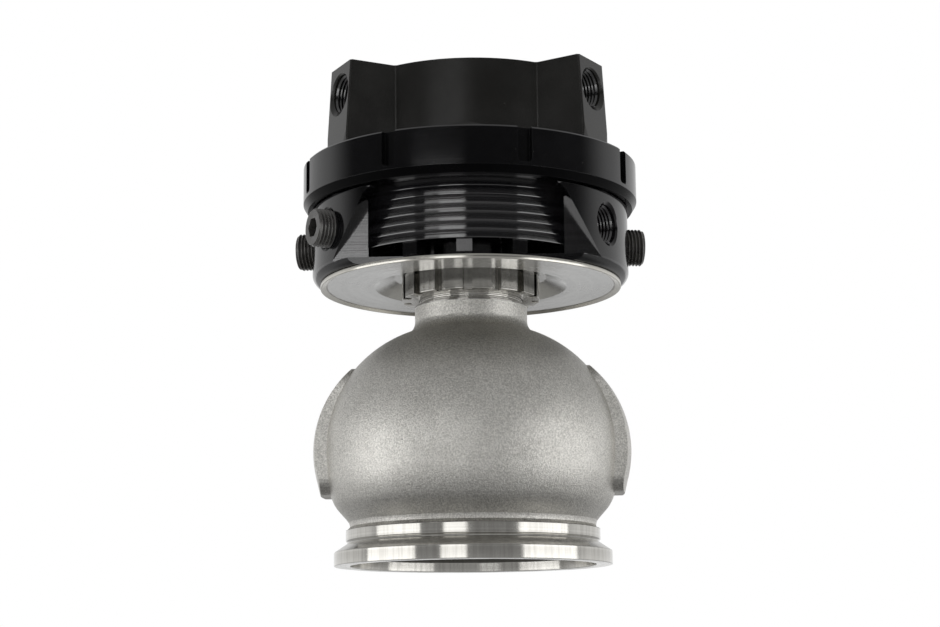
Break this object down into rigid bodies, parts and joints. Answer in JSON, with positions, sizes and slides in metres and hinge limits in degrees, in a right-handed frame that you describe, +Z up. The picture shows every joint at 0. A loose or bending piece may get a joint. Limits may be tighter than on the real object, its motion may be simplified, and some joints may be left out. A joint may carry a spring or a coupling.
{
  "type": "external turbo wastegate",
  "caption": "External wastegate: cast valve housing with V-band inlet and side outlet, poppet valve, and a sprung diaphragm actuator under a black cap held by a notched collar.",
  "frame": {"origin": "centre of the inlet flange's lower face", "axes": "+Z up the valve stem towards the cap, +Y out of the outlet, +X to the right seen from the front"},
  "size_m": [0.0957, 0.1012, 0.1317],
  "materials": {
    "cast_stainless": "investment cast stainless steel, bead blasted, with turned flange and neck",
    "turned_steel": "bright turned stainless steel",
    "shield_plate": "fine turned and polished plate",
    "valve_alloy": "ground heat resisting alloy",
    "bronze": "machined bronze",
    "black_anodised": "black anodised, milled and turned",
    "black_oxide": "black oxide steel plugs",
    "seal_black": "moulded fluorocarbon rubber",
    "packing": "pressed graphite packing",
    "diaphragm_cloth": "fabric reinforced silicone",
    "plate_aluminium": "turned aluminium",
    "zinc_steel": "zinc plated steel",
    "spring_steel": "shot peened spring wire",
    "slip_polymer": "low friction polymer"
  },
  "bodies": {
    "housing": {"valve_housing": "cast_stainless", "seat_ring": "turned_steel", "valve_guide": "bronze", "stem_seal": "packing", "heat_shield_plate": "shield_plate"},
    "valve_set": {"valve": "valve_alloy", "lower_diaphragm_plate": "plate_aluminium", "upper_diaphragm_plate": "plate_aluminium", "stem_washer": "zinc_steel", "stem_nut": "zinc_steel"},
    "ring": {"lock_ring": "turned_steel"},
    "actuator": {"actuator_body": "black_anodised", "stem_bush": "bronze", "stem_o_ring": "seal_black", "body_port_plugs": "black_oxide", "diaphragm": "diaphragm_cloth"},
    "cap_set": {"cap": "black_anodised", "outer_spring": "spring_steel", "inner_spring": "spring_steel"},
    "collar": {"locking_collar": "black_anodised", "slip_ring": "slip_polymer"}
  },
  "joints": [
    {"name": "valve_lift", "type": "slide", "parent": "housing", "child": "valve_set", "axis": [0, 0, 1], "range_m": [0, 0.012], "stiffness_N_per_m": 9000, "springref_m": -0.015, "deforming": ["outer_spring", "inner_spring", "diaphragm"]},
    {"name": "lock_ring_turn", "type": "hinge", "parent": "housing", "child": "ring", "pos_m": [0, 0, 0.074], "axis": [0, 0, 1], "continuous": true},
    {"name": "actuator_clocking", "type": "hinge", "parent": "housing", "child": "actuator", "pos_m": [0, 0, 0.08], "axis": [0, 0, 1], "continuous": true},
    {"name": "cap_clocking", "type": "hinge", "parent": "actuator", "child": "cap_set", "pos_m": [0, 0, 0.11], "axis": [0, 0, 1], "continuous": true},
    {"name": "collar_turn", "type": "hinge", "parent": "actuator", "child": "collar", "pos_m": [0, 0, 0.1], "axis": [0, 0, 1], "continuous": true}
  ]
}
